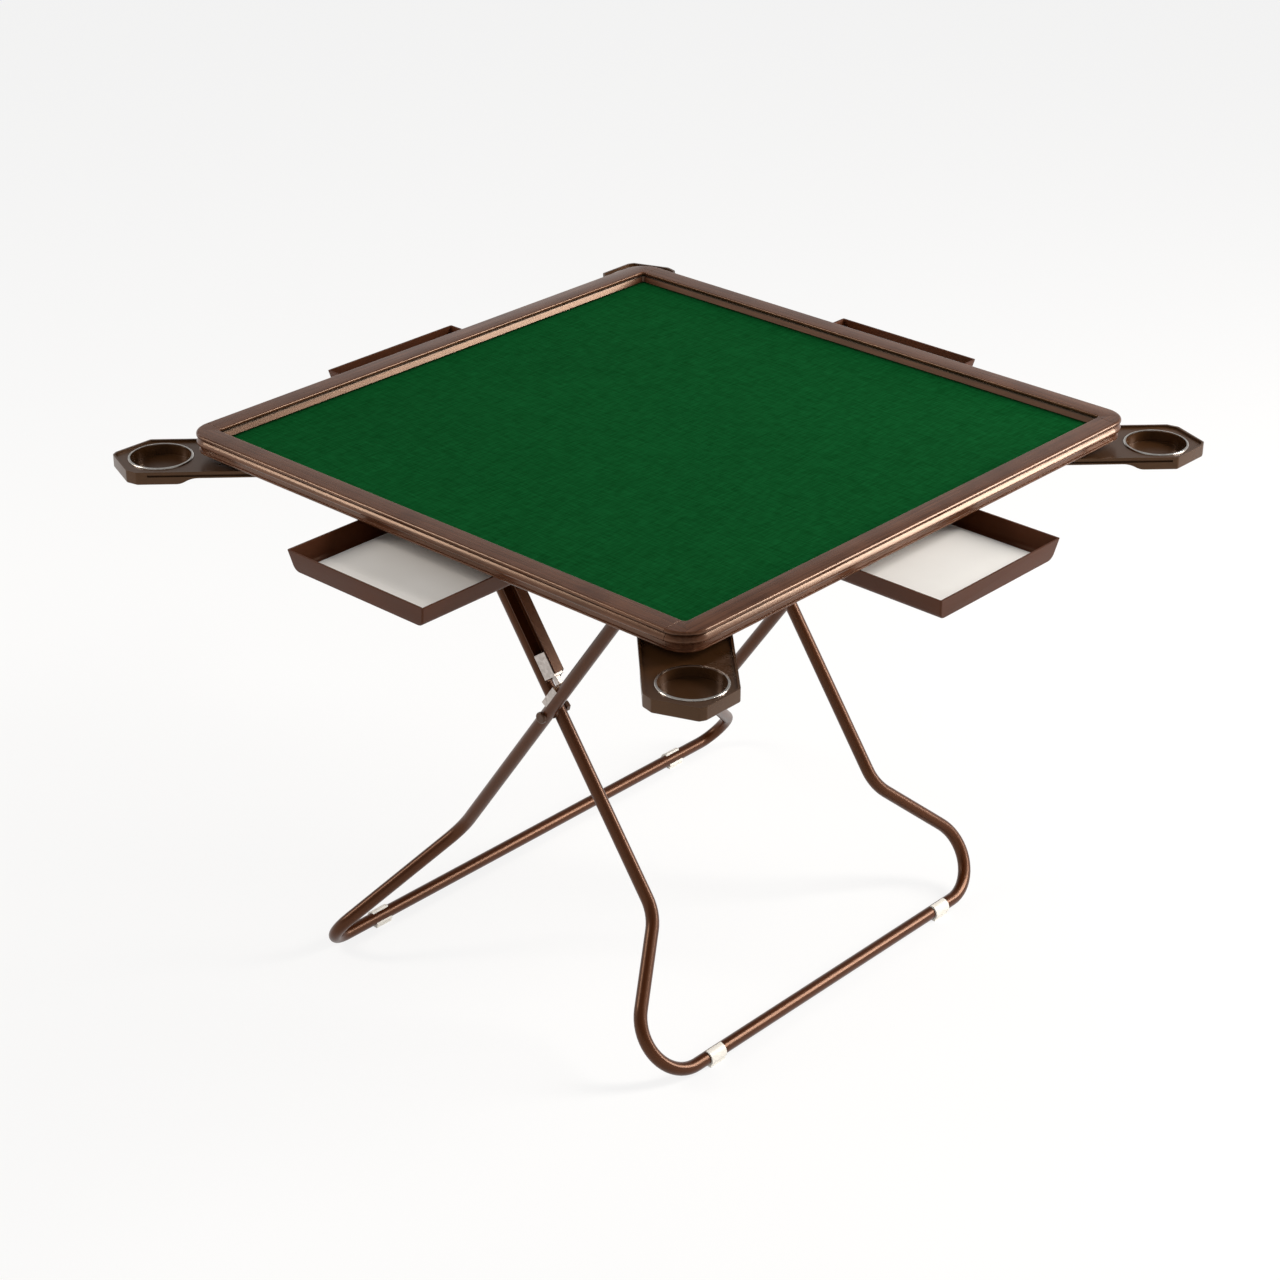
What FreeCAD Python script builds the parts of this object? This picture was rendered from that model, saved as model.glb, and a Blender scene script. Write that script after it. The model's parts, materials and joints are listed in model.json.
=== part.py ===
import FreeCAD
import Part
import math
import os

# A folding mahjong table: a square felt-topped board in a moulded rim, four drawers, four
# pull-out cup holders at the corners, and a pair of crossed tube leg frames that fold flat.
# Millimetres. +Z is up, the front side faces -Y and the right side faces +X.
# Everything is drawn with the middle of the top above the origin, and moved at the end so
# that the origin is on the floor below the middle of the whole, drawers out.

V = FreeCAD.Vector

# The top
SIDE = 880.0
TOP_HEIGHT = 740.0
CORNER_RADIUS = 36.0
RIM_DEPTH = 27.0
RIM_REBATE = 20.0
RIM_INNER = 34.0
RIM_JOINT = 0.4
FELT_DEPTH = 13.0
FELT_THICK = 1.0
BOARD_THICK = 11.0
BOARD_PLAY = 0.3

# The leg frames
TUBE_R = 9.0
TUBE_WALL = 1.5
FOOT_BAR_Z = 11.5
LEG_ANGLE = 55.0
PIVOT_X = 30.0
PIVOT_Z = 416.0
HINGE_Z = 644.0
INNER_HALF = 230.0
OUTER_HALF = 252.0
INNER_KINK = 198.0
OUTER_KINK = 205.0
INNER_FOOT_HALF = 405.0
OUTER_FOOT_HALF = 455.0
INNER_FOOT_RADIUS = 60.0
OUTER_FOOT_RADIUS = 36.0
KINK_RADIUS = 60.0
INNER_CLIP_Y = 239.0
OUTER_CLIP_Y = 307.0
TUBE_END = 12.0
PIN_R = 4.0
PIN_PLAY = 0.05

# The drawers
DRAWER_WIDTH = 240.0
DRAWER_DEPTH = 225.0
DRAWER_TOP_Z = 708.0
DRAWER_HEIGHT = 29.0
DRAWER_WALL = 2.6
DRAWER_DRAFT = 7.0
DRAWER_FRONT_DRAFT = 5.0
DRAWER_BOTTOM_R = 11.0
DRAWER_EDGE = 2.5
PULL_FRONT = 106.0
PULL_RIGHT = 114.0
PULL_BACK = 88.0
PULL_LEFT = 82.0

# The cup holders, measured from the corner of the top along the diagonal and across it
HOLDER_HALF = 55.0
HOLDER_ASIDE = 2.0
HOLDER_INNER_END = 140.0
HOLDER_TOP_Z = 704.0
HOLDER_PLATE_Z = 701.4
HOLDER_BOTTOM_Z = 686.0
HOLDER_ARM_Z = 695.0
HOLDER_WALL = 3.0
WELL_R = 40.0
WELL_OUT = 34.0
WELL_ASIDE = 2.0
WELL_FLOOR = 2.0
RING_R = 43.0
RING_HEIGHT = 1.6
HOLDER_TRAVEL = 115.0

HALF = SIDE / 2
BOARD_TOP = TOP_HEIGHT - FELT_DEPTH - FELT_THICK
BOARD_UNDER = BOARD_TOP - BOARD_THICK
BATTEN_THICK = 15.0
BATTEN_UNDER = BOARD_UNDER - BATTEN_THICK
SIN = math.sin(math.radians(LEG_ANGLE))
COS = math.cos(math.radians(LEG_ANGLE))
UPPER_LEG = (HINGE_Z - PIVOT_Z) / SIN
LOWER_LEG = (PIVOT_Z - FOOT_BAR_Z) / SIN
HINGE_X = PIVOT_X + UPPER_LEG * COS
FOLDED_PIVOT_X = HINGE_X - UPPER_LEG
SLIDER_X = PIVOT_X - UPPER_LEG * COS
SLIDER_FOLDED_X = FOLDED_PIVOT_X - UPPER_LEG

# Directions of the leaning legs: along each leg upwards, and square to it into the upper V
INNER_UP = V(-COS, 0, SIN)
INNER_V = V(SIN, 0, COS)
OUTER_UP = V(COS, 0, SIN)
OUTER_V = V(-SIN, 0, COS)
PIVOT = V(PIVOT_X, 0, PIVOT_Z)
Y_AXIS = V(0, 1, 0)
Z_AXIS = V(0, 0, 1)

parts = {}


def box(x0, x1, y0, y1, z0, z1):
    return Part.makeBox(x1 - x0, y1 - y0, z1 - z0, V(x0, y0, z0))


def rod(radius, start, end):
    axis = end - start
    return Part.makeCylinder(radius, axis.Length, start, axis)


def polygon(points):
    return Part.Face(Part.makePolygon(points + [points[0]]))


def turned(shape, degrees):
    copy = shape.copy()
    copy.rotate(V(0, 0, 0), Z_AXIS, degrees)
    return copy


def across_y(shape):
    return shape.mirror(V(0, 0, 0), Y_AXIS)


def rounded_square(half, radius, z0, z1):
    block = box(-half, half, -half, half, z0, z1)
    upright = [e for e in block.Edges if abs(e.tangentAt(e.FirstParameter).z) > 0.9]
    return block.makeFillet(radius, upright)


# Rim strips. Each is one straight moulding and the rounded corner at its start.
def rim_outline():
    """Section of the moulding: distance in from the outer face, depth below the top."""
    def at(inward, depth):
        return V(0, -HALF + inward, TOP_HEIGHT - depth)

    def line(a, b):
        return Part.makeLine(at(*a), at(*b))

    def arc(a, b, c):
        return Part.Arc(at(*a), at(*b), at(*c)).toShape()

    edges = [
        line((29.2, 0), (3.2, 0)),
        arc((3.2, 0), (0.9, 0.9), (0, 3.0)),
        line((0, 3.0), (0, 4.0)),
        line((0, 4.0), (4.4, 4.8)),
        line((4.4, 4.8), (4.8, 6.4)),
        arc((4.8, 6.4), (2.17, 9.12), (0.3, 12.4)),
        arc((0.3, 12.4), (0.99, 15.94), (4.5, 16.74)),
        line((4.5, 16.74), (4.5, 23.6)),
        line((4.5, 23.6), (2.8, 24.4)),
        line((2.8, 24.4), (2.8, 26.2)),
        line((2.8, 26.2), (3.6, RIM_DEPTH)),
        line((3.6, RIM_DEPTH), (RIM_REBATE, RIM_DEPTH)),
        line((RIM_REBATE, RIM_DEPTH), (RIM_REBATE, FELT_DEPTH + FELT_THICK)),
        line((RIM_REBATE, FELT_DEPTH + FELT_THICK), (RIM_INNER, FELT_DEPTH + FELT_THICK)),
        line((RIM_INNER, FELT_DEPTH + FELT_THICK), (31.4, 5.6)),
        line((31.4, 5.6), (29.8, 5.2)),
        line((29.8, 5.2), (29.8, 3.6)),
        line((29.8, 3.6), (30.8, 3.2)),
        line((30.8, 3.2), (30.8, 1.6)),
        arc((30.8, 1.6), (30.33, 0.47), (29.2, 0)),
    ]
    return Part.Face(Part.Wire(edges))


def rim_strip():
    reach = HALF - CORNER_RADIUS
    section = rim_outline()
    start = section.copy()
    start.translate(V(-reach, 0, 0))
    straight = start.extrude(V(2 * reach - RIM_JOINT, 0, 0))
    corner = start.revolve(V(-reach, -reach, 0), Z_AXIS, -90)
    return straight.fuse(corner).removeSplitter()


def make_top():
    strip = rim_strip()
    for name, angle in (("front", 0), ("right", 90), ("back", 180), ("left", 270)):
        parts["rim_" + name] = turned(strip, angle)
    board_half = HALF - RIM_REBATE - BOARD_PLAY
    board_radius = CORNER_RADIUS - RIM_REBATE
    parts["playing_board"] = rounded_square(board_half, board_radius, BOARD_UNDER, BOARD_TOP)
    felt_half = HALF - RIM_INNER - BOARD_PLAY
    felt_radius = CORNER_RADIUS - RIM_INNER
    parts["felt"] = rounded_square(felt_half, felt_radius, BOARD_TOP, BOARD_TOP + FELT_THICK)


# Battens under the board, which the leg hardware is screwed to
HINGE_BATTEN_X = (158.0, 210.0)
HINGE_BATTEN_HALF = 292.0
RAIL_BATTEN_X = (-402.0, -98.0)
RAIL_BATTEN_Y = (147.0, 187.0)


def make_battens():
    x0, x1 = HINGE_BATTEN_X
    half = HINGE_BATTEN_HALF
    parts["hinge_batten"] = box(x0, x1, -half, half, BATTEN_UNDER, BOARD_UNDER)
    x0, x1 = RAIL_BATTEN_X
    y0, y1 = RAIL_BATTEN_Y
    batten = box(x0, x1, y0, y1, BATTEN_UNDER, BOARD_UNDER)
    parts["rail_batten_back"] = batten
    parts["rail_batten_front"] = across_y(batten)


# Slotted rails that the top bar of the inner leg frame slides along
RAIL_Y = 165.0
RAIL_HALF_THICK = 1.5
RAIL_FLANGE = 17.5
RAIL_FLANGE_THICK = 2.5
RAIL_BOTTOM_Z = 622.0
SLOT_HALF = 12.4
RAIL_X = (-398.0, -102.0)


def make_rails():
    x0, x1 = RAIL_X
    y0 = RAIL_Y - RAIL_HALF_THICK
    y1 = RAIL_Y + RAIL_HALF_THICK
    web = box(x0, x1, y0, y1, RAIL_BOTTOM_Z, BATTEN_UNDER)
    flange = box(x0, x1, y1, y1 + RAIL_FLANGE, BATTEN_UNDER - RAIL_FLANGE_THICK, BATTEN_UNDER)
    slot = box(SLIDER_FOLDED_X, SLIDER_X, y0 - 1, y1 + 1, HINGE_Z - SLOT_HALF, HINGE_Z + SLOT_HALF)
    for x in (SLIDER_FOLDED_X, SLIDER_X):
        slot = slot.fuse(rod(SLOT_HALF, V(x, y0 - 1, HINGE_Z), V(x, y1 + 1, HINGE_Z)))
    rail = web.fuse(flange).cut(slot).removeSplitter()
    parts["slide_rail_back"] = rail
    parts["slide_rail_front"] = across_y(rail)


# Hinge brackets outside the outer legs, and the bolts the legs turn on
BRACKET_INNER = 262.3
BRACKET_THICK = 3.0
BRACKET_HALF = 15.0
BRACKET_FLANGE = 25.0
BOLT_HEAD_R = 7.0
BOLT_HEAD = 4.5
HEAD_ROUND = 2.2
RIVET_R = 6.3
RIVET_HEAD = 2.3


def make_hinges():
    y0 = BRACKET_INNER
    y1 = BRACKET_INNER + BRACKET_THICK
    x0 = HINGE_X - BRACKET_HALF
    x1 = HINGE_X + BRACKET_HALF
    web = box(x0, x1, y0, y1, HINGE_Z, BATTEN_UNDER)
    eye = rod(BRACKET_HALF, V(HINGE_X, y0, HINGE_Z), V(HINGE_X, y1, HINGE_Z))
    flange = box(x0, x1, y1, y1 + BRACKET_FLANGE, BATTEN_UNDER - BRACKET_THICK, BATTEN_UNDER)
    hole = rod(PIN_R, V(HINGE_X, y0 - 1, HINGE_Z), V(HINGE_X, y1 + 1, HINGE_Z))
    bracket = web.fuse([eye, flange]).cut(hole).removeSplitter()
    parts["hinge_bracket_back"] = bracket
    parts["hinge_bracket_front"] = across_y(bracket)

    leg_inside = OUTER_HALF - TUBE_R
    shank = rod(PIN_R, V(HINGE_X, leg_inside - 0.2, HINGE_Z), V(HINGE_X, y1, HINGE_Z))
    rivet_end = V(HINGE_X, leg_inside - 0.2 - RIVET_HEAD, HINGE_Z)
    rivet = rod(RIVET_R, rivet_end, V(HINGE_X, leg_inside - 0.2, HINGE_Z))
    head = rod(BOLT_HEAD_R, V(HINGE_X, y1, HINGE_Z), V(HINGE_X, y1 + BOLT_HEAD, HINGE_Z))
    head = domed(head, y1 + BOLT_HEAD)
    bolt = shank.fuse([rivet, head]).removeSplitter()
    parts["hinge_bolts"] = Part.makeCompound([bolt, across_y(bolt)])


# Leg frames: one bent tube each, with straight legs, a flared foot and a straight foot bar
def bent_path(points, radii):
    """Straight runs joined by tangent arcs, through the given corner points."""
    edges = []
    last = points[0]
    for i in range(1, len(points) - 1):
        before = (points[i - 1] - points[i]).normalize()
        after = (points[i + 1] - points[i]).normalize()
        half_inside = before.getAngle(after) / 2
        setback = radii[i - 1] / math.tan(half_inside)
        start = points[i] + before * setback
        end = points[i] + after * setback
        bisector = (before + after).normalize()
        centre = points[i] + bisector * (radii[i - 1] / math.sin(half_inside))
        middle = centre - bisector * radii[i - 1]
        edges.append(Part.makeLine(last, start))
        edges.append(Part.Arc(start, middle, end).toShape())
        last = end
    edges.append(Part.makeLine(last, points[-1]))
    return Part.Wire(edges)


def tube_along(path, radius):
    start = path.Edges[0].valueAt(path.Edges[0].FirstParameter)
    direction = path.Edges[0].tangentAt(path.Edges[0].FirstParameter)
    ring = Part.Wire(Part.makeCircle(radius, start, direction))
    return path.makePipe(Part.Face(ring))


def leg_tube(up, half, top, kink, foot_half, foot_radius):
    """A U bent from one tube, open at the top."""
    def at(y, along):
        return PIVOT + up * along + V(0, y, 0)

    bend = -LOWER_LEG + kink
    points = [
        at(-half, top),
        at(-half, bend),
        at(-foot_half, -LOWER_LEG),
        at(foot_half, -LOWER_LEG),
        at(half, bend),
        at(half, top),
    ]
    path = bent_path(points, [KINK_RADIUS, foot_radius, foot_radius, KINK_RADIUS])
    tube = tube_along(path, TUBE_R).cut(tube_along(path, TUBE_R - TUBE_WALL))
    expected = math.pi * (TUBE_R ** 2 - (TUBE_R - TUBE_WALL) ** 2) * path.Length
    print("tube", round(path.Length), "long, volume against section", round(tube.Volume / expected, 4))
    return tube


def hexagon(across, start, end):
    """A hexagonal nut round a line across the table, by its width across the flats."""
    corner = across / 2 / math.cos(math.radians(30))
    corners = []
    for i in range(6):
        angle = math.radians(60 * i + 15)
        corners.append(start + V(corner * math.cos(angle), 0, corner * math.sin(angle)))
    nut = polygon(corners).extrude(end - start)
    return nut


def domed(head, y):
    """A bolt head with its outer edge rounded."""
    rim = [e for e in head.Edges if all(abs(v.Y - y) < 0.01 for v in e.Vertexes) and e.Closed]
    return head.makeFillet(HEAD_ROUND, rim)


def cross_hole(point, radius):
    return rod(radius, V(point.x, -HALF, point.z), V(point.x, HALF, point.z))


def end_plugs(up, half, top):
    plugs = []
    for side in (-1, 1):
        mouth = PIVOT + up * top + V(0, side * half, 0)
        cap = rod(TUBE_R, mouth, mouth + up * 2.5)
        stem = rod(TUBE_R - TUBE_WALL, mouth - up * 8, mouth)
        plugs.append(cap.fuse(stem).removeSplitter())
    return Part.makeCompound(plugs)


def top_bar(top):
    """The tube welded between the two legs of the inner frame, its ends cut to fit them."""
    start = V(SLIDER_X, -INNER_HALF, HINGE_Z)
    end = V(SLIDER_X, INNER_HALF, HINGE_Z)
    bar = rod(TUBE_R, start, end).cut(rod(TUBE_R - TUBE_WALL, start, end))
    for side in (-1, 1):
        leg = PIVOT + V(0, side * INNER_HALF, 0)
        bar = bar.cut(rod(TUBE_R, leg, leg + INNER_UP * (top + TUBE_R)))
    return max(bar.Solids, key=lambda solid: solid.Volume)


def make_leg_frames():
    hinge = V(HINGE_X, 0, HINGE_Z)
    top = UPPER_LEG + TUBE_END
    tube = leg_tube(OUTER_UP, OUTER_HALF, top, OUTER_KINK, OUTER_FOOT_HALF, OUTER_FOOT_RADIUS)
    tube = tube.cut(cross_hole(hinge, PIN_R + PIN_PLAY))
    tube = tube.cut(cross_hole(PIVOT, PIN_R))
    parts["outer_leg_frame"] = tube
    parts["outer_leg_plugs"] = end_plugs(OUTER_UP, OUTER_HALF, top)
    tube = leg_tube(INNER_UP, INNER_HALF, top, INNER_KINK, INNER_FOOT_HALF, INNER_FOOT_RADIUS)
    tube = tube.cut(cross_hole(PIVOT, PIN_R + PIN_PLAY))
    parts["inner_leg_frame"] = tube
    parts["inner_leg_plugs"] = end_plugs(INNER_UP, INNER_HALF, top)
    parts["inner_leg_top_bar"] = top_bar(top)


# Bolts where the frames cross, with a collar between the two tubes
COLLAR_R = 8.5
NUT_ACROSS = 13.0
NUT = 6.0
SIDE_GAP = 0.2


def make_pivot_bolts():
    def at(y):
        return PIVOT + V(0, y, 0)

    outer_out = OUTER_HALF + TUBE_R
    outer_in = OUTER_HALF - TUBE_R
    inner_out = INNER_HALF + TUBE_R + SIDE_GAP
    inner_in = INNER_HALF - TUBE_R - SIDE_GAP
    pieces = [
        rod(PIN_R, at(inner_in), at(outer_out)),
        rod(COLLAR_R, at(inner_out), at(outer_in)),
        domed(rod(BOLT_HEAD_R + 1, at(outer_out), at(outer_out + BOLT_HEAD)), outer_out + BOLT_HEAD),
        hexagon(NUT_ACROSS, at(inner_in - NUT), at(inner_in)),
    ]
    bolt = pieces[0].fuse(pieces[1:]).removeSplitter()
    parts["pivot_bolts"] = Part.makeCompound([bolt, across_y(bolt)])


# Spools on the top bar of the inner frame, which run in the slotted rails
SPOOL_R = 12.0
SPOOL_FLANGE_R = 15.5
SPOOL_HALF = 2.1
SPOOL_FLANGE = 3.0


def make_spools():
    def at(y):
        return V(SLIDER_X, y, HINGE_Z)

    inside = RAIL_Y - SPOOL_HALF
    outside = RAIL_Y + SPOOL_HALF
    spool = rod(SPOOL_R, at(inside), at(outside))
    spool = spool.fuse(rod(SPOOL_FLANGE_R, at(inside - SPOOL_FLANGE), at(inside)))
    spool = spool.fuse(rod(SPOOL_FLANGE_R, at(outside), at(outside + SPOOL_FLANGE)))
    spool = spool.cut(rod(TUBE_R, at(inside - 5), at(outside + 5))).removeSplitter()
    parts["slide_spool_back"] = spool
    parts["slide_spool_front"] = across_y(spool)


# The lock on each side: a channel along the inner leg, a sliding latch in its lower end,
# and a slotted keeper plate on the outer leg
CHANNEL_ALONG = (38.0, 262.0)
CHANNEL_OFF = (9.0, 35.0)
CHANNEL_Y = (222.0, 238.0)
CHANNEL_WALL = 1.5
LATCH_ALONG = (41.0, 76.0)
LATCH_Y = (223.8, 239.6)
LATCH_PLAY = 0.3
TONGUE_ALONG = 26.0
TONGUE_OFF = (19.0, 27.0)
TONGUE_Y = (226.5, 233.5)
KEEPER_ALONG = (17.0, 52.0)
KEEPER_OFF = (11.0, 13.5)
KEEPER_Y = (220.0, 260.0)
KEEPER_SLOT = (23.0, 35.0)
KEEPER_SLOT_Y = (225.5, 234.5)
KEEPER_FOOT_Y = (244.5, 260.0)


def leaning_box(up, side, along, off, ys):
    """A box square to a leaning leg: along it, out into the V, and across the table."""
    corner = PIVOT + up * along[0] + side * off[0] + V(0, ys[0], 0)
    section = polygon([
        corner,
        corner + up * (along[1] - along[0]),
        corner + up * (along[1] - along[0]) + side * (off[1] - off[0]),
        corner + side * (off[1] - off[0]),
    ])
    return section.extrude(V(0, ys[1] - ys[0], 0))


def make_locks():
    off0, off1 = CHANNEL_OFF
    y0, y1 = CHANNEL_Y
    wall = CHANNEL_WALL
    channel = leaning_box(INNER_UP, INNER_V, CHANNEL_ALONG, CHANNEL_OFF, CHANNEL_Y)
    channel = channel.cut(leaning_box(
        INNER_UP, INNER_V, (CHANNEL_ALONG[0] - 1, CHANNEL_ALONG[1] + 1),
        (off0 + wall, off1 - wall), (y0 + wall, y1 + 1)))
    mouth = PIVOT + INNER_UP * CHANNEL_ALONG[0] + INNER_V * off1 + V(0, y0 - 1, 0)
    nose = polygon([mouth, mouth + INNER_UP * 7, mouth - INNER_V * 12])
    channel = channel.cut(nose.extrude(V(0, y1 - y0 + 2, 0)))
    parts["lock_channel_back"] = channel
    parts["lock_channel_front"] = across_y(channel)

    latch_off = (off0 + wall + LATCH_PLAY, off1 - wall - LATCH_PLAY)
    block = leaning_box(INNER_UP, INNER_V, LATCH_ALONG, latch_off, LATCH_Y)
    tongue = leaning_box(INNER_UP, INNER_V, (TONGUE_ALONG, LATCH_ALONG[0]), TONGUE_OFF, TONGUE_Y)
    latch = block.fuse(tongue).removeSplitter()
    parts["lock_latch_back"] = latch
    parts["lock_latch_front"] = across_y(latch)

    plate = leaning_box(OUTER_UP, OUTER_V, KEEPER_ALONG, KEEPER_OFF, KEEPER_Y)
    slot = leaning_box(OUTER_UP, OUTER_V, KEEPER_SLOT, (0, 20), KEEPER_SLOT_Y)
    foot = leaning_box(OUTER_UP, OUTER_V, KEEPER_ALONG, (4, KEEPER_OFF[0]), KEEPER_FOOT_Y)
    leg_start = PIVOT + V(0, OUTER_HALF, 0)
    leg = rod(TUBE_R, leg_start, leg_start + OUTER_UP * UPPER_LEG)
    keeper = plate.cut(slot).fuse(foot).cut(leg).removeSplitter()
    parts["lock_keeper_back"] = keeper
    parts["lock_keeper_front"] = across_y(keeper)


# Plastic clips round the foot bars: pushed on from outside, with a flat pad on the floor
CLIP_HALF = 14.0
CLIP_WALL = 2.4
CLIP_PAD_HALF = 8.0
CLIP_MOUTH = 6.0
CLIP_TURN = 60.0


def foot_clip(x, y, outward):
    """A clip whose mouth looks up and towards the middle of the table."""
    y0 = y - CLIP_HALF
    y1 = y + CLIP_HALF
    body = rod(TUBE_R + CLIP_WALL, V(x, y0, FOOT_BAR_Z), V(x, y1, FOOT_BAR_Z))
    body = body.fuse(box(x - CLIP_PAD_HALF, x + CLIP_PAD_HALF, y0, y1, 0, FOOT_BAR_Z))
    body = body.cut(rod(TUBE_R, V(x, y0 - 1, FOOT_BAR_Z), V(x, y1 + 1, FOOT_BAR_Z)))
    mouth = box(x - 20, x + 20, y0 - 1, y1 + 1, FOOT_BAR_Z + CLIP_MOUTH, FOOT_BAR_Z + 20)
    mouth.rotate(V(x, 0, FOOT_BAR_Z), V(0, 1, 0), -outward * CLIP_TURN)
    return body.cut(mouth).removeSplitter()


def make_foot_clips():
    inner_x = PIVOT_X + LOWER_LEG * COS
    outer_x = PIVOT_X - LOWER_LEG * COS
    parts["foot_clip_inner_back"] = foot_clip(inner_x, INNER_CLIP_Y, 1)
    parts["foot_clip_inner_front"] = foot_clip(inner_x, -INNER_CLIP_Y, 1)
    parts["foot_clip_outer_back"] = foot_clip(outer_x, OUTER_CLIP_Y, -1)
    parts["foot_clip_outer_front"] = foot_clip(outer_x, -OUTER_CLIP_Y, -1)


# Drawers: a tray with sloping walls and a well rounded bottom, and a panel laid in it
FLOOR_THICK = 3.0
FLOOR_PLAY = 0.4


def tray_block(inset, front, back):
    """The drawer's section run from front to back, all round smaller by the inset."""
    half = DRAWER_WIDTH / 2 - inset
    z0 = DRAWER_TOP_Z - DRAWER_HEIGHT + inset
    section = polygon([
        V(-half, front, DRAWER_TOP_Z),
        V(-half + DRAWER_DRAFT, front, z0),
        V(half - DRAWER_DRAFT, front, z0),
        V(half, front, DRAWER_TOP_Z),
    ])
    block = section.extrude(V(0, back - front, 0))
    low = [e for e in block.Edges if e.BoundBox.ZMax < z0 + 0.1 and e.BoundBox.YLength > 1]
    block = block.makeFillet(DRAWER_BOTTOM_R - inset, low)
    lean = DRAWER_FRONT_DRAFT / DRAWER_HEIGHT
    wedge = polygon([
        V(-HALF, front, DRAWER_TOP_Z),
        V(-HALF, front - 1, DRAWER_TOP_Z - DRAWER_HEIGHT - 1),
        V(-HALF, front + lean * (DRAWER_HEIGHT + 1), DRAWER_TOP_Z - DRAWER_HEIGHT - 1),
    ])
    return block.cut(wedge.extrude(V(SIDE, 0, 0)))


def drawer_tray(front):
    back = front + DRAWER_DEPTH
    tray = tray_block(0, front, back)
    outline = [e for e in tray.Edges if round_the_front(e, front)]
    tray = tray.makeFillet(DRAWER_EDGE, outline)
    inside = tray_block(DRAWER_WALL, front + DRAWER_WALL, back - DRAWER_WALL)
    return tray.cut(inside).removeSplitter()


def round_the_front(edge, front):
    """The edges of the drawer's leaning front, without the one along its top."""
    near = edge.BoundBox.YMax < front + DRAWER_FRONT_DRAFT + 0.5
    return near and edge.BoundBox.ZMin < DRAWER_TOP_Z - 1


def drawer_floor(front):
    z0 = DRAWER_TOP_Z - DRAWER_HEIGHT + DRAWER_WALL
    half = DRAWER_WIDTH / 2 - DRAWER_DRAFT - DRAWER_BOTTOM_R + FLOOR_PLAY
    y0 = front + DRAWER_WALL + DRAWER_FRONT_DRAFT + FLOOR_PLAY
    y1 = front + DRAWER_DEPTH - DRAWER_WALL - FLOOR_PLAY
    return box(-half, half, y0, y1, z0, z0 + FLOOR_THICK)


# Guide frame of a drawer: two runners that hook under its sides, joined behind it
GUIDE_START = 385.0
GUIDE_WEB = (121.5, 124.0)
GUIDE_LEDGE_IN = 97.0
GUIDE_LEDGE_Z = (676.2, 678.7)
GUIDE_FLANGE = 139.5
GUIDE_FLANGE_THICK = 2.5
GUIDE_BACK = (211.5, 214.5)
GUIDE_BACK_Z = 688.0
# Towards the middle the runners are cut short, so that the lock clears them when it is folded up
GUIDE_NOTCH = 240.0
GUIDE_NOTCH_Z = 684.0


def drawer_guide():
    y0 = -GUIDE_START
    y1 = -GUIDE_BACK[0]
    web0, web1 = GUIDE_WEB
    low, high = GUIDE_LEDGE_Z
    web = box(web0, web1, y0, y1, low, BOARD_UNDER)
    ledge = box(GUIDE_LEDGE_IN, web0, y0, y1, low, high)
    flange = box(web1, GUIDE_FLANGE, y0, y1, BOARD_UNDER - GUIDE_FLANGE_THICK, BOARD_UNDER)
    notch = box(GUIDE_LEDGE_IN - 1, web1 + 1, -GUIDE_NOTCH, y1 + 1, low - 1, GUIDE_NOTCH_Z)
    runner = web.fuse([ledge, flange]).cut(notch)
    other = runner.mirror(V(0, 0, 0), V(1, 0, 0))
    back = box(-web1, web1, -GUIDE_BACK[1], -GUIDE_BACK[0], GUIDE_BACK_Z, BOARD_UNDER)
    return runner.fuse([other, back]).removeSplitter()


def make_drawers():
    guide = drawer_guide()
    sides = (("front", 0, PULL_FRONT), ("right", 90, PULL_RIGHT),
             ("back", 180, PULL_BACK), ("left", 270, PULL_LEFT))
    for name, angle, pull in sides:
        front = -HALF - pull
        parts["drawer_" + name] = turned(drawer_tray(front), angle)
        parts["drawer_floor_" + name] = turned(drawer_floor(front), angle)
        parts["drawer_guide_" + name] = turned(guide, angle)


# Cup holders, drawn out of the front right corner: u runs out along the diagonal, w across
# it, and both are then turned into place
GROOVE_Z = (697.0, 700.0)
GROOVE_DEPTH = 3.0
GROOVE_END = 46.0
SKIRT_START = -20.0
SKIRT_FULL = 14.0
HOLDER_CORNER = 5.0
HOLDER_EDGE = 2.5


def holder_face(inset, z):
    half = HOLDER_HALF - inset
    points = [
        V(-HOLDER_INNER_END + inset, -half, z),
        V(60 - inset * 0.6, -half, z),
        V(74 - inset, -46 + inset * 0.6, z),
        V(97 - inset, 6, z),
        V(94 - inset, 15 - inset * 0.4, z),
        V(53 - inset * 0.4, half, z),
        V(-HOLDER_INNER_END + inset, half, z),
    ]
    return polygon(points)


def upright_edges(shape, beyond):
    """The upright edges of a holder block that lie further out than the given distance."""
    edges = [e for e in shape.Edges if abs(e.tangentAt(e.FirstParameter).z) > 0.9]
    return [e for e in edges if e.CenterOfMass.x > beyond]


def holder_block(inset, z, height, radius):
    """The outline as a block, its upright corners at the outer end rounded."""
    block = holder_face(inset, z).extrude(V(0, 0, height))
    return block.makeFillet(radius, upright_edges(block, 40))


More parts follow.
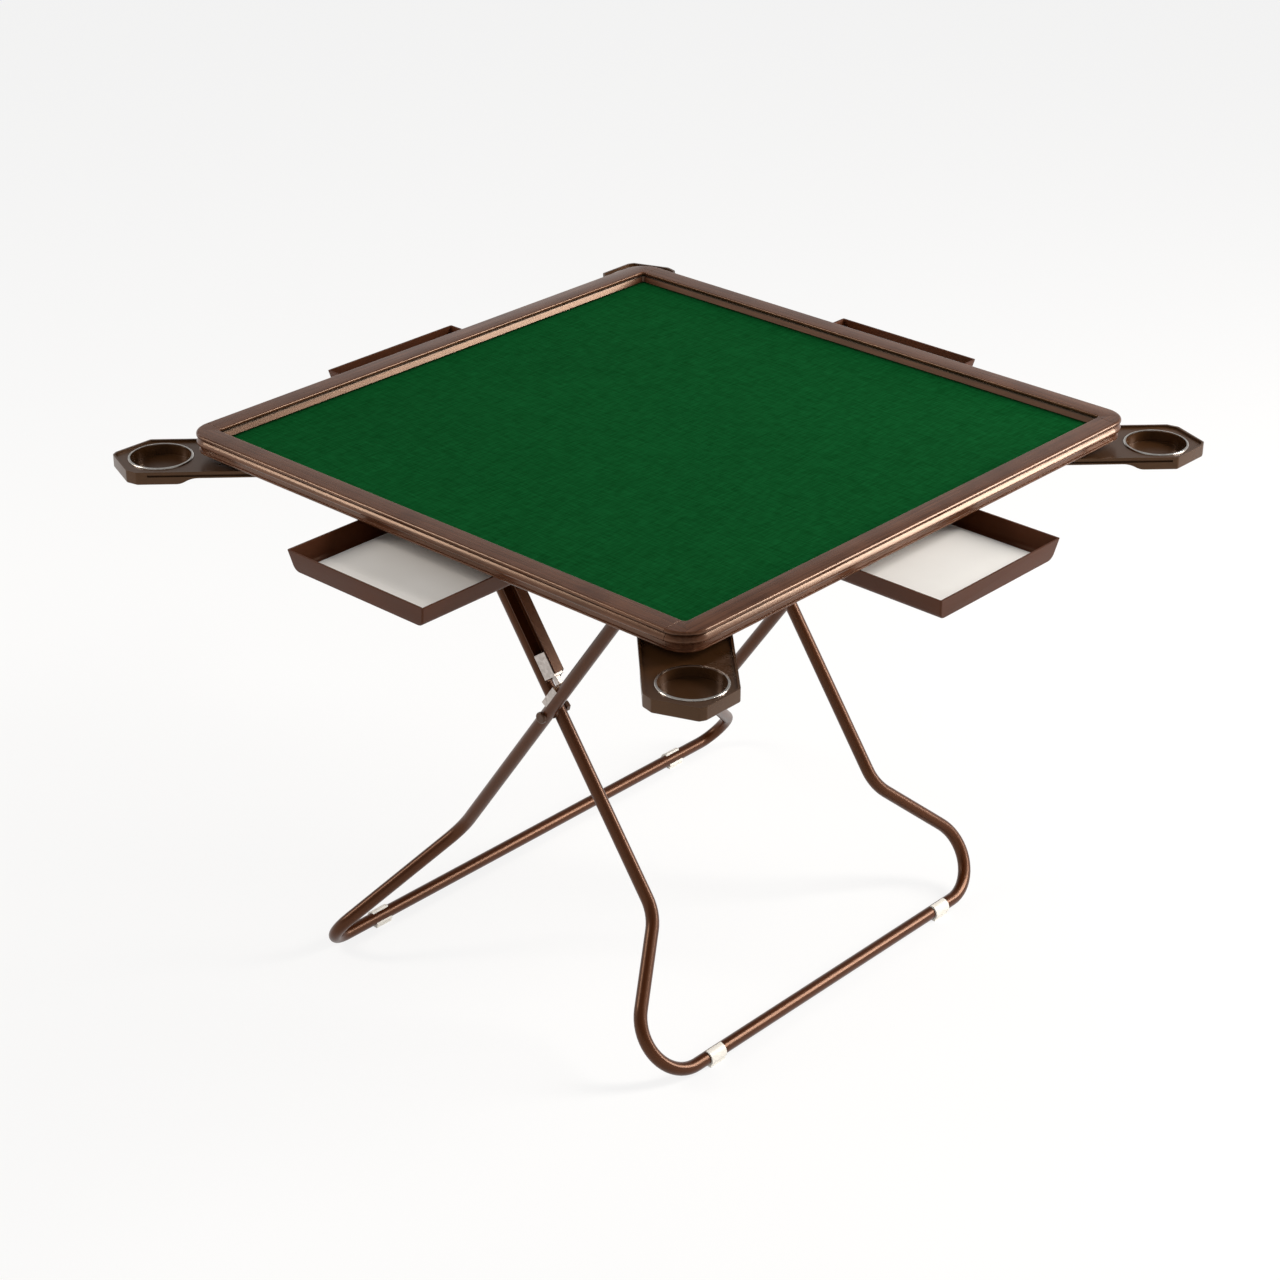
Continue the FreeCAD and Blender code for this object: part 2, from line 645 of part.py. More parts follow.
def below_the_arm():
    """The space under the arm. It ends in an S curve, where the head of the holder gets deeper."""
    drop = HOLDER_ARM_Z - HOLDER_BOTTOM_Z
    length = SKIRT_FULL - SKIRT_START
    half_turn = math.atan(drop / length)
    radius = math.hypot(length, drop) ** 2 / (4 * drop)
    step = radius * math.sin(half_turn)
    sag = radius * (1 - math.cos(half_turn))
    side = -HOLDER_HALF - 10
    start = V(SKIRT_START, side, HOLDER_ARM_Z)
    middle = V(SKIRT_START + length / 2, side, HOLDER_ARM_Z - drop / 2)
    end = V(SKIRT_FULL, side, HOLDER_BOTTOM_Z)
    bottom = HOLDER_BOTTOM_Z - 1
    outline = Part.Wire([
        Part.Arc(start, start + V(step, 0, -sag), middle).toShape(),
        Part.Arc(middle, end + V(-step, 0, sag), end).toShape(),
        Part.makeLine(end, V(SKIRT_FULL, side, bottom)),
        Part.makeLine(V(SKIRT_FULL, side, bottom), V(-HOLDER_INNER_END - 1, side, bottom)),
        Part.makeLine(V(-HOLDER_INNER_END - 1, side, bottom), V(-HOLDER_INNER_END - 1, side, HOLDER_ARM_Z)),
        Part.makeLine(V(-HOLDER_INNER_END - 1, side, HOLDER_ARM_Z), start),
    ])
    return Part.Face(outline).extrude(V(0, -2 * side, 0))


def holder_tray():
    height = HOLDER_TOP_Z - HOLDER_BOTTOM_Z
    tray = holder_block(0, HOLDER_BOTTOM_Z, height, HOLDER_CORNER)
    under_edges = [e for e in tray.Edges if on_holder_bottom(e)]
    tray = tray.makeFillet(HOLDER_EDGE, under_edges)
    tray = tray.cut(holder_block(HOLDER_WALL, HOLDER_PLATE_Z, 20, HOLDER_CORNER - 2.5))
    foot = V(WELL_OUT, WELL_ASIDE, HOLDER_BOTTOM_Z)
    bowl = rod(WELL_R + HOLDER_WALL, foot, foot + V(0, 0, HOLDER_PLATE_Z - HOLDER_BOTTOM_Z))
    tray = tray.cut(below_the_arm()).fuse(bowl)
    tray = tray.cut(rod(WELL_R, foot + V(0, 0, WELL_FLOOR), foot + V(0, 0, height)))
    for side in (-1, 1):
        edge = side * (HOLDER_HALF - GROOVE_DEPTH)
        far = side * (HOLDER_HALF + 1)
        groove = box(-HOLDER_INNER_END - 1, GROOVE_END, min(edge, far), max(edge, far), *GROOVE_Z)
        tray = tray.cut(groove)
    return tray.removeSplitter()


def on_holder_bottom(edge):
    low = all(abs(v.Z - HOLDER_BOTTOM_Z) < 0.01 for v in edge.Vertexes)
    return low and max(v.X for v in edge.Vertexes) > SKIRT_FULL


def holder_ring():
    foot = V(WELL_OUT, WELL_ASIDE, HOLDER_PLATE_Z)
    outer = rod(RING_R, foot, foot + V(0, 0, RING_HEIGHT))
    ring = outer.cut(rod(WELL_R, foot - V(0, 0, 1), foot + V(0, 0, RING_HEIGHT + 1)))
    top = [e for e in ring.Edges if all(v.Z > HOLDER_PLATE_Z + 1 for v in e.Vertexes)]
    circles = [e for e in top if abs(e.Length - 2 * math.pi * RING_R) < 1]
    return ring.makeFillet(1.2, circles)


# Guide of a cup holder: two runners with lips in the holder's side grooves, joined behind
LIP_IN = 52.6
LIP_Z = (697.3, 699.7)
SLEEVE_WEB = (55.6, 58.2)
SLEEVE_OUT = -98.0
SLEEVE_IN = -258.5
SLEEVE_FLANGE = 66.0
SLEEVE_BACK = 3.0


def holder_guide():
    w0, w1 = SLEEVE_WEB
    web = box(SLEEVE_IN, SLEEVE_OUT, w0, w1, LIP_Z[0] - 3, BOARD_UNDER)
    lip = box(SLEEVE_IN, SLEEVE_OUT, LIP_IN, w0, *LIP_Z)
    flange = box(SLEEVE_IN, SLEEVE_OUT, w1, SLEEVE_FLANGE, BOARD_UNDER - GUIDE_FLANGE_THICK, BOARD_UNDER)
    runner = web.fuse([lip, flange])
    other = runner.mirror(V(0, 0, 0), Y_AXIS)
    back = box(SLEEVE_IN, SLEEVE_IN + SLEEVE_BACK, -w1, w1, LIP_Z[0] - 3, BOARD_UNDER)
    return runner.fuse([other, back]).removeSplitter()


def at_corner(shape, mirrored, angle):
    copy = shape.copy()
    copy.translate(V(0, HOLDER_ASIDE, 0))
    if mirrored:
        copy = copy.mirror(V(0, 0, 0), Y_AXIS)
        copy.rotate(V(0, 0, 0), Z_AXIS, 45)
        copy.translate(V(HALF, HALF, 0))
    else:
        copy.rotate(V(0, 0, 0), Z_AXIS, -45)
        copy.translate(V(HALF, -HALF, 0))
    return turned(copy, angle)


def make_holders():
    tray = holder_tray()
    ring = holder_ring()
    guide = holder_guide()
    corners = (("front_right", False, 0), ("back_right", True, 0),
               ("back_left", False, 180), ("front_left", True, 180))
    for name, mirrored, angle in corners:
        parts["cup_holder_" + name] = at_corner(tray, mirrored, angle)
        parts["cup_ring_" + name] = at_corner(ring, mirrored, angle)
        parts["cup_guide_" + name] = at_corner(guide, mirrored, angle)


# Screw heads under the hardware
SCREW_R = 3.6
SCREW_HEAD = 2.0


def screw_head(x, y, z):
    head = rod(SCREW_R, V(x, y, z - SCREW_HEAD), V(x, y, z))
    rim = [e for e in head.Edges if all(v.Z < z - 1 for v in e.Vertexes) and e.Length > 5]
    return head.makeFillet(1.2, rim)


def make_screws():
    heads = []
    bracket_z = BATTEN_UNDER - BRACKET_THICK
    bracket_y = BRACKET_INNER + BRACKET_THICK + 14
    rail_z = BATTEN_UNDER - RAIL_FLANGE_THICK
    rail_y = RAIL_Y + RAIL_HALF_THICK + 10
    guide_z = BOARD_UNDER - GUIDE_FLANGE_THICK
    for side in (-1, 1):
        for x in (HINGE_X - 8, HINGE_X + 8):
            heads.append(screw_head(x, side * bracket_y, bracket_z))
        for x in (-380, -250, -120):
            heads.append(screw_head(x, side * rail_y, rail_z))
    for angle in (0, 90, 180, 270):
        for x in (-132, 132):
            for y in (-365, -235):
                heads.append(turned(screw_head(x, y, guide_z), angle))
    for mirrored, angle in ((False, 0), (True, 0), (False, 180), (True, 180)):
        for u in (-112, -242):
            for w in (-62, 62):
                heads.append(at_corner(screw_head(u, w, guide_z), mirrored, angle))
    parts["underside_screws"] = Part.makeCompound(heads)


make_top()
make_battens()
make_rails()
make_hinges()
make_leg_frames()
make_pivot_bolts()
make_spools()
make_locks()
make_foot_clips()
make_drawers()
make_holders()
make_screws()

# The drawers stand out further at the front and right than at the back and left
whole = Part.makeCompound(list(parts.values())).optimalBoundingBox(True, False)
OFFSET = V(-(whole.XMin + whole.XMax) / 2, -(whole.YMin + whole.YMax) / 2, 0)

os.makedirs("parts", exist_ok=True)
for name in sorted(parts):
    shape = parts[name].copy()
    shape.translate(OFFSET)
    if not shape.isValid():
        print("not valid:", name)
    shape.exportStep("parts/" + name + ".step")

print(len(parts), "pieces")
print("middle of the top", round(OFFSET.x, 3), round(OFFSET.y, 3))
print("hinge x", round(HINGE_X + OFFSET.x, 3), "z", HINGE_Z)
print("slider x", round(SLIDER_X + OFFSET.x, 3), "folded", round(SLIDER_FOLDED_X + OFFSET.x, 3))
print("pivot x", round(PIVOT_X + OFFSET.x, 3), "z", PIVOT_Z)
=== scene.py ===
# %% [markdown]
# # A folding mahjong table
# The table is a square board with a felt top, held in a moulded rim and carried by two crossed
# tube frames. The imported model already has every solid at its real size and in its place. This
# lesson gives each one the finish that its real material has, and adds what is too soft or too
# small for the solids: the felt, the eased edges, the cross-head screws and the weld ripples.

import json
import math

import bmesh
import bpy
from mathutils import Matrix, Vector


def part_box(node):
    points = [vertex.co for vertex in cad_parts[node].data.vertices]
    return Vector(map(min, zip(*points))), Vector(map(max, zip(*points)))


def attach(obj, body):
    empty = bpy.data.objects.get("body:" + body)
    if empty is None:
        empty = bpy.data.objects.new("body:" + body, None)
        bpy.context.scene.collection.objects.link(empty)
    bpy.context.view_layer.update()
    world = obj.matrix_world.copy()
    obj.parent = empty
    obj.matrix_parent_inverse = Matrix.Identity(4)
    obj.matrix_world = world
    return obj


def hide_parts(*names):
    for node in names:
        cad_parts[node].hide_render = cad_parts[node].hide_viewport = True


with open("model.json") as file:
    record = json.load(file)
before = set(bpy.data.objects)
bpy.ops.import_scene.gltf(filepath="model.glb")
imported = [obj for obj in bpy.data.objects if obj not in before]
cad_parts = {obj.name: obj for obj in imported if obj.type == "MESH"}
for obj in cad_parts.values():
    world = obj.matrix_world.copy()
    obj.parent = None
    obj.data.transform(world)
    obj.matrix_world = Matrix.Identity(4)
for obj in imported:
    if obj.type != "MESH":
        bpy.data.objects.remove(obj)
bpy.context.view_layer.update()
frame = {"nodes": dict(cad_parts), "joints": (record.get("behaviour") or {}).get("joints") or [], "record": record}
nodes = frame["nodes"]
MM = 0.001

# %% [markdown]
# ## Camera
# The camera comes first, because every later choice is judged through it. It looks down on the
# near corner of the table from about four metres away. A long lens was used, so the sides of the
# top stay almost parallel. A camera can be placed by a position and a rotation, but a point that
# it looks at, two angles and a distance are easier to think about, so it is built that way.

# %% Camera
AIM = Vector((-36.4, -9.9, 420.0)) * MM
DISTANCE = 3931.0 * MM
AZIMUTH = 42.68
ELEVATION = 27.13
LENS = 81.16
SENSOR_WIDTH = 36.0
# In metres: further than the far corner of the floor.
CLIP_END = 150.0


def direction(azimuth, elevation):
    """The way from the table towards something seen at these two angles, in degrees."""
    a = math.radians(azimuth)
    e = math.radians(elevation)
    return Vector((math.sin(a) * math.cos(e), -math.cos(a) * math.cos(e), math.sin(e)))


def facing(back):
    """The rotation of a camera or lamp that stands in the direction back and looks the other way."""
    return (-back).to_track_quat("-Z", "Y").to_euler()


camera = bpy.data.objects.new("camera", bpy.data.cameras.new("camera"))
bpy.context.collection.objects.link(camera)
camera.location = AIM + direction(AZIMUTH, ELEVATION) * DISTANCE
camera.rotation_euler = facing(direction(AZIMUTH, ELEVATION))
camera.data.lens = LENS
camera.data.sensor_width = SENSOR_WIDTH
camera.data.clip_end = CLIP_END
bpy.context.scene.camera = camera
bpy.context.scene.view_settings.view_transform = "Standard"
print("camera at", [round(c, 3) for c in camera.location])

# %% [markdown]
# ## Four helpers for materials
# A colour is picked as it looks on a screen, in sRGB, but a shader works in linear light, so one function turns
# the one into the other. A texture wants a scale, but a pattern is measured in millimetres, so the second function
# turns that round. The third adds a node to a tree: its plain settings, then its inputs, each of which is a value
# or a socket to link from. The last one starts an empty material. With these, a material reads from top to bottom
# like a recipe.

# %% Colours, scales and nodes
def linear(code):
    """Turns an sRGB colour such as "#8a5c33" into the linear RGBA that a shader takes."""
    channels = [int(code[i:i + 2], 16) / 255 for i in (1, 3, 5)]
    return [c / 12.92 if c < 0.04045 else ((c + 0.055) / 1.055) ** 2.4 for c in channels] + [1.0]


def per(size_mm):
    """The texture scale at which one cell of the pattern has this size."""
    return 1 / (size_mm * MM)


def add(tree, kind, inputs=None, **settings):
    """Adds a node. inputs maps an input's name or number to a value or to an output socket."""
    node = tree.nodes.new(kind)
    for name, value in settings.items():
        setattr(node, name, value)
    for name, value in (inputs or {}).items():
        if isinstance(value, bpy.types.NodeSocket):
            tree.links.new(value, node.inputs[name])
        else:
            node.inputs[name].default_value = value
    return node


def new_material(name):
    """An empty material with one shader on its output, and the tree to build the rest in."""
    material = bpy.data.materials.new(name)
    material.use_nodes = True
    tree = material.node_tree
    tree.nodes.clear()
    shader = tree.nodes.new("ShaderNodeBsdfPrincipled")
    output = tree.nodes.new("ShaderNodeOutputMaterial")
    tree.links.new(shader.outputs["BSDF"], output.inputs["Surface"])
    return material, tree, shader


print("white is", linear("#ffffff"), "and 2 mm is a scale of", per(2))

# %% [markdown]
# ## Rim: extruded PVC, dark walnut brown, gloss
# The rim strips are a plastic moulding pushed through a die, so they are smooth and shiny, but
# never quite flat. The brown is mixed from two batches that the die draws out into faint streaks
# along each strip. Streaks could be painted on an image, but a noise that is stretched along one
# axis needs no unwrapping. One stretched along X gives the streaks of the front and back strips,
# one stretched along Y those of the other two, and which of them a point takes depends on whether
# it is further from the middle of the board in X or in Y.

# %% Colour of the rim
rim_pvc, tree, shader = new_material("extruded PVC, walnut brown, gloss")
place = add(tree, "ShaderNodeTexCoord").outputs["Object"]
BATCH_MM = 45.0
STREAK_MM, STREAK_LENGTH_MM, STREAK_SHARE = 2.6, 110.0, 0.6
DARKEST_BELOW, PALEST_ABOVE = 0.32, 0.68
fine, long = per(STREAK_MM), per(STREAK_LENGTH_MM)
streaks = []
for stretch in ((long, fine, fine), (fine, long, fine)):
    drawn = add(tree, "ShaderNodeMapping", {"Vector": place, "Scale": stretch})
    noise = add(tree, "ShaderNodeTexNoise", {
        "Vector": drawn.outputs["Vector"], "Scale": 1.0, "Detail": 2.0})
    streaks.append(noise.outputs["Fac"])
board_low, board_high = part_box("playing_board")
board_middle = (board_low + board_high) / 2
centred = add(tree, "ShaderNodeMapping", {"Vector": place, "Location": -board_middle})
split = add(tree, "ShaderNodeSeparateXYZ", {"Vector": centred.outputs["Vector"]})
far_x = add(tree, "ShaderNodeMath", {0: split.outputs["X"]}, operation="ABSOLUTE")
far_y = add(tree, "ShaderNodeMath", {0: split.outputs["Y"]}, operation="ABSOLUTE")
on_side = add(tree, "ShaderNodeMath", {0: far_x.outputs["Value"], 1: far_y.outputs["Value"]},
              operation="GREATER_THAN")
streak = add(tree, "ShaderNodeMix", {
    "Factor": on_side.outputs["Value"], "A": streaks[0], "B": streaks[1]})
batch = add(tree, "ShaderNodeTexNoise", {"Vector": place, "Scale": per(BATCH_MM), "Detail": 4.0})
melt = add(tree, "ShaderNodeMix", {
    "Factor": STREAK_SHARE, "A": batch.outputs["Fac"], "B": streak.outputs["Result"]})
paleness = add(tree, "ShaderNodeMapRange", {
    "Value": melt.outputs["Result"], "From Min": DARKEST_BELOW, "From Max": PALEST_ABOVE})
brown = add(tree, "ShaderNodeMix", {
    "Factor": paleness.outputs["Result"], "A": linear("#3a1e10"), "B": linear("#5f3c2a")},
    data_type="RGBA")
print("rim streaks", STREAK_MM, "mm wide and", STREAK_LENGTH_MM, "mm long")

# %% [markdown]
# The grooves that run round the outside and the inside of the rim are darkened in the colour. This is painted
# shade, standing in for the shade that falls into them. Both lie at the same height, so the height alone finds
# them: a point is in a groove where it is below the lip and above the bead, and both limits fade over a fraction
# of a millimetre. The gloss varies in patches as wide as a fingertip, and a slow, shallow swell in the surface
# makes the reflections along a strip waver.

# %% Grooves and gloss of the rim
rim_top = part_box("rim_front")[1].z
LIP_DEPTH, BEAD_DEPTH, FADE = 3.6 * MM, 6.8 * MM, 0.4 * MM
FINGER_MM, SWELL_MM, SWELL_HEIGHT = 9.0, 60.0, 0.15 * MM
lip = rim_top - LIP_DEPTH
bead = rim_top - BEAD_DEPTH
up = add(tree, "ShaderNodeSeparateXYZ", {"Vector": place}).outputs["Z"]
below_lip = add(tree, "ShaderNodeMapRange", {
    "Value": up, "From Min": lip - FADE, "From Max": lip + FADE, "To Min": 1.0, "To Max": 0.0})
above_bead = add(tree, "ShaderNodeMapRange", {
    "Value": up, "From Min": bead - FADE, "From Max": bead + FADE})
# Painted shade: inside the grooves the brown is mixed towards near-black, where shade falls into the recess.
groove_shade = add(tree, "ShaderNodeMath", {
    0: below_lip.outputs["Result"], 1: above_bead.outputs["Result"]}, operation="MULTIPLY")
groove_shaded_brown = add(tree, "ShaderNodeMix", {
    "Factor": groove_shade.outputs["Value"], "A": brown.outputs["Result"], "B": linear("#120804")},
    data_type="RGBA")
handling = add(tree, "ShaderNodeTexNoise", {
    "Vector": place, "Scale": per(FINGER_MM), "Detail": 4.0})
gloss = add(tree, "ShaderNodeMapRange", {
    "Value": handling.outputs["Fac"], "To Min": 0.2, "To Max": 0.28})
swell = add(tree, "ShaderNodeTexNoise", {"Vector": place, "Scale": per(SWELL_MM), "Detail": 1.0})
waver = add(tree, "ShaderNodeBump", {
    "Height": swell.outputs["Fac"], "Distance": SWELL_HEIGHT, "Strength": 0.5})
tree.links.new(groove_shaded_brown.outputs["Result"], shader.inputs["Base Color"])
tree.links.new(gloss.outputs["Result"], shader.inputs["Roughness"])
tree.links.new(waver.outputs["Normal"], shader.inputs["Normal"])
shader.inputs["IOR"].default_value = 1.53
shader.inputs["Specular IOR Level"].default_value = 0.55
shader.inputs["Specular Tint"].default_value = linear("#ffd6b6")
print("grooves", round(lip, 4), "to", round(bead, 4), "m above the floor")

# %% [markdown]
# ## Felt: green wool-mix baize, woven
# Baize is a woven cloth whose surface has been raised and cropped, so it has almost no shine,
# and threads that show as a faint cross-hatch. The real threads are about half a millimetre
# apart, which is finer than a pixel here, and a regular weave of that size would flicker. So
# they are drawn as slubs some millimetres apart: two noises, each stretched far along one thread
# direction. Their sum drives the colour and the bump, and a slow cloud on top is the shade left
# by brushing the nap.

# %% Felt material
baize, tree, shader = new_material("woven baize, green")
place = add(tree, "ShaderNodeTexCoord").outputs["Object"]
THREAD_MM, SLUB_MM = 2.4, 24.0
NAP_HEIGHT, CLOUD_MM, CLOUD_SHARE = 0.3 * MM, 160.0, 0.6
across, along = per(THREAD_MM), per(SLUB_MM)
threads = []
for stretch in ((along, across, 1.0), (across, along, 1.0)):
    drawn = add(tree, "ShaderNodeMapping", {"Vector": place, "Scale": stretch})
    noise = add(tree, "ShaderNodeTexNoise", {
        "Vector": drawn.outputs["Vector"], "Scale": 1.0, "Detail": 2.0})
    threads.append(noise.outputs["Fac"])
woven = add(tree, "ShaderNodeMath", {0: threads[0], 1: threads[1]}, operation="ADD")
level = add(tree, "ShaderNodeMapRange", {
    "Value": woven.outputs["Value"], "From Min": 0.65, "From Max": 1.35})
cloth = add(tree, "ShaderNodeMix", {
    "Factor": level.outputs["Result"], "A": linear("#023d16"), "B": linear("#0b5226")},
    data_type="RGBA")
cloud = add(tree, "ShaderNodeTexNoise", {"Vector": place, "Scale": per(CLOUD_MM), "Detail": 3.0})
brushed = add(tree, "ShaderNodeMix", {
    "Factor": cloud.outputs["Fac"], "A": linear("#dadada"), "B": linear("#ffffff")},
    data_type="RGBA")
shaded = add(tree, "ShaderNodeMix", {
    "Factor": CLOUD_SHARE, "A": cloth.outputs["Result"], "B": brushed.outputs["Result"]},
    data_type="RGBA", blend_type="MULTIPLY")
nap = add(tree, "ShaderNodeBump", {
    "Height": level.outputs["Result"], "Distance": NAP_HEIGHT, "Strength": 0.5})
tree.links.new(shaded.outputs["Result"], shader.inputs["Base Color"])
tree.links.new(nap.outputs["Normal"], shader.inputs["Normal"])
shader.inputs["Roughness"].default_value = 0.95
shader.inputs["Specular IOR Level"].default_value = 0.02
print("felt slubs", THREAD_MM, "mm apart and", SLUB_MM, "mm long")

# %% [markdown]
# ## Leg tubes: steel, stoved enamel, bronze brown
# The tubes are sprayed and baked. The bronze in the enamel makes its highlights warm instead of
# white, so the shader's reflection takes a tint. It could be drawn as a metal, but then the whole
# tube mirrors the pale room and loses its brown. A slight orange-peel texture of about two
# millimetres breaks up the highlight that runs down each tube.

# %% Tube material
tube_enamel, tree, shader = new_material("stoved enamel on steel tube, bronze brown")
place = add(tree, "ShaderNodeTexCoord").outputs["Object"]
PEEL_MM, PEEL_HEIGHT, SHADE_MM = 2.2, 0.004 * MM, 70.0
peel = add(tree, "ShaderNodeTexNoise", {"Vector": place, "Scale": per(PEEL_MM), "Detail": 2.0})
shade = add(tree, "ShaderNodeTexNoise", {"Vector": place, "Scale": per(SHADE_MM), "Detail": 4.0})
brown = add(tree, "ShaderNodeMix", {
    "Factor": shade.outputs["Fac"], "A": linear("#301403"), "B": linear("#421f0b")},
    data_type="RGBA")
skin = add(tree, "ShaderNodeBump", {
    "Height": peel.outputs["Fac"], "Distance": PEEL_HEIGHT, "Strength": 0.5})
dull = add(tree, "ShaderNodeMapRange", {
    "Value": shade.outputs["Fac"], "To Min": 0.28, "To Max": 0.35})
tree.links.new(brown.outputs["Result"], shader.inputs["Base Color"])
tree.links.new(skin.outputs["Normal"], shader.inputs["Normal"])
tree.links.new(dull.outputs["Result"], shader.inputs["Roughness"])
shader.inputs["Specular IOR Level"].default_value = 0.55
shader.inputs["Specular Tint"].default_value = linear("#ffc4a0")
print("tube peel", PEEL_MM, "mm")

# %% [markdown]
# ## Drawers and cup holders: injection-moulded ABS
# The drawers are moulded in a spark-eroded tool, which leaves a fine, even grain and a satin
# sheen. The cup holders come from a smoother tool and shine more. The guides, plugs, clips and
# spools are moulded too, and the drawer floors and the paint of the bolt heads have such a fine,
# even surface as well. All are one recipe with other numbers, so one function makes them.

# %% Moulded plastics and their like
FLOW_MM = 60.0
DULLER, SHINIER = 0.08, 0.06


def fine_grained(name, dark, light, roughness, grain_mm, depth_mm, shine=0.5, sheen="#ffffff"):
    """A drifting colour, a fine grain and a gloss that varies a little."""
    material, tree, shader = new_material(name)
    place = add(tree, "ShaderNodeTexCoord").outputs["Object"]
    grain = add(tree, "ShaderNodeTexNoise", {
        "Vector": place, "Scale": per(grain_mm), "Detail": 3.0})
    flow = add(tree, "ShaderNodeTexNoise", {"Vector": place, "Scale": per(FLOW_MM), "Detail": 3.0})
    colour = add(tree, "ShaderNodeMix", {
        "Factor": flow.outputs["Fac"], "A": linear(dark), "B": linear(light)}, data_type="RGBA")
    texture = add(tree, "ShaderNodeBump", {
        "Height": grain.outputs["Fac"], "Distance": depth_mm * MM})
    rough = add(tree, "ShaderNodeMapRange", {
        "Value": flow.outputs["Fac"], "To Min": roughness - SHINIER, "To Max": roughness + DULLER})
    tree.links.new(colour.outputs["Result"], shader.inputs["Base Color"])
    tree.links.new(texture.outputs["Normal"], shader.inputs["Normal"])
    tree.links.new(rough.outputs["Result"], shader.inputs["Roughness"])
    shader.inputs["IOR"].default_value = 1.54
    shader.inputs["Specular IOR Level"].default_value = shine
    shader.inputs["Specular Tint"].default_value = linear(sheen)
    return material


print("colour drifts over", FLOW_MM, "mm")

# %% The plastics, the drawer floors and the bolt heads
drawer_abs = fine_grained("moulded ABS, reddish brown, fine grain", "#3a1b0b", "#4c2715",
                          roughness=0.42, grain_mm=1.2, depth_mm=0.05, shine=0.2, sheen="#ffd0b0")
holder_abs = fine_grained("moulded ABS, dark brown, gloss", "#2f1b0b", "#432b17",
                          roughness=0.28, grain_mm=2.0, depth_mm=0.02, sheen="#ffd2b0")
guide_abs = fine_grained("moulded ABS, black brown, matt", "#1f1511", "#2c1f19",
                         roughness=0.6, grain_mm=1.0, depth_mm=0.05, shine=0.2)
plug_ldpe = fine_grained("moulded polyethylene, black brown", "#17100d", "#211814",
                         roughness=0.5, grain_mm=1.0, depth_mm=0.04, shine=0.3)
clip_pp = fine_grained("moulded polypropylene, white", "#d6d3cb", "#e4e1da",
                       roughness=0.4, grain_mm=1.5, depth_mm=0.03)
nylon = fine_grained("moulded nylon, natural", "#cfc8b4", "#e2dccb",
                     roughness=0.45, grain_mm=1.5, depth_mm=0.03)
panel = fine_grained("lacquered hardboard panel, off-white", "#f1efeb", "#faf9f6",
                     roughness=0.5, grain_mm=2.5, depth_mm=0.04, shine=0.3)
bolt_enamel = fine_grained("stoved enamel on the bolt heads, brown", "#3a2418", "#4a3022",
                           roughness=0.3, grain_mm=2.2, depth_mm=0.01, shine=0.4, sheen="#ffe3cc")
print("moulded:", drawer_abs.name, holder_abs.name)

# %% [markdown]
# ## Zinc and bright plating
# The screws, hinge bolts, latches and keepers are zinc plated: grey-white, a little milky, with
# a cloudy crystal pattern some millimetres wide. The ring round each cup well is bright plated.
# A noise would blur the crystals, so they are drawn with the cell texture, in which each cell has
# one even tone. Both are metals, so the colour sits in the reflection and the default IOR stays.

# %% Metals
CRYSTAL_DULLER = 0.12


def plated(name, dark, light, roughness, crystal_mm):
    """A plated metal with a cell pattern that shifts its brightness and its gloss a little."""
    material, tree, shader = new_material(name)
    place = add(tree, "ShaderNodeTexCoord").outputs["Object"]
    crystal = add(tree, "ShaderNodeTexVoronoi", {"Vector": place, "Scale": per(crystal_mm)})
    tone = add(tree, "ShaderNodeRGBToBW", {"Color": crystal.outputs["Color"]})
    colour = add(tree, "ShaderNodeMix", {
        "Factor": tone.outputs["Val"], "A": linear(dark), "B": linear(light)}, data_type="RGBA")
    rough = add(tree, "ShaderNodeMapRange", {
        "Value": tone.outputs["Val"], "To Min": roughness, "To Max": roughness + CRYSTAL_DULLER})
    tree.links.new(colour.outputs["Result"], shader.inputs["Base Color"])
    tree.links.new(rough.outputs["Result"], shader.inputs["Roughness"])
    shader.inputs["Metallic"].default_value = 1.0
    return material


zinc = plated("zinc plated steel", "#a89f98", "#c9c0ba", roughness=0.34, crystal_mm=4.0)
bright_plate = plated("bright plated trim", "#cfc9c2", "#e4dfd9", roughness=0.14, crystal_mm=9.0)
print("plated:", zinc.name, bright_plate.name)

# %% [markdown]
# ## Board and battens
# From below, the board is bare fibreboard and the battens are sawn softwood. Softwood shows
# growth rings cut lengthwise, as long stripes that wander. A wave texture makes such stripes, but
# too evenly. Here a noise is stretched along the batten and multiplied, and only the fraction is
# kept, which cuts its slow hills into contour lines that wander and close as real rings do.

# %% Wood
GRAIN_LENGTH_MM, GRAIN_WIDTH_MM, RINGS = 250.0, 16.667, 9.0
GRAIN_DEPTH = 0.1 * MM


def softwood(name, along):
    """Sawn pine, its grain running along the X or the Y axis."""
    material, tree, shader = new_material(name)
    place = add(tree, "ShaderNodeTexCoord").outputs["Object"]
    stretch = [per(GRAIN_WIDTH_MM)] * 3
    stretch["XY".index(along)] = per(GRAIN_LENGTH_MM)
    fibres = add(tree, "ShaderNodeMapping", {"Vector": place, "Scale": stretch})
    wander = add(tree, "ShaderNodeTexNoise", {
        "Vector": fibres.outputs["Vector"], "Scale": 1.0, "Detail": 4.0})
    rings = add(tree, "ShaderNodeMath", {0: wander.outputs["Fac"], 1: RINGS}, operation="MULTIPLY")
    bands = add(tree, "ShaderNodeMath", {0: rings.outputs["Value"]}, operation="FRACT")
    colour = add(tree, "ShaderNodeMix", {
        "Factor": bands.outputs["Value"], "A": linear("#c09a68"), "B": linear("#8f6a42")},
        data_type="RGBA")
    relief = add(tree, "ShaderNodeBump", {
        "Height": bands.outputs["Value"], "Distance": GRAIN_DEPTH})
    tree.links.new(colour.outputs["Result"], shader.inputs["Base Color"])
    tree.links.new(relief.outputs["Normal"], shader.inputs["Normal"])
    shader.inputs["Roughness"].default_value = 0.75
    return material


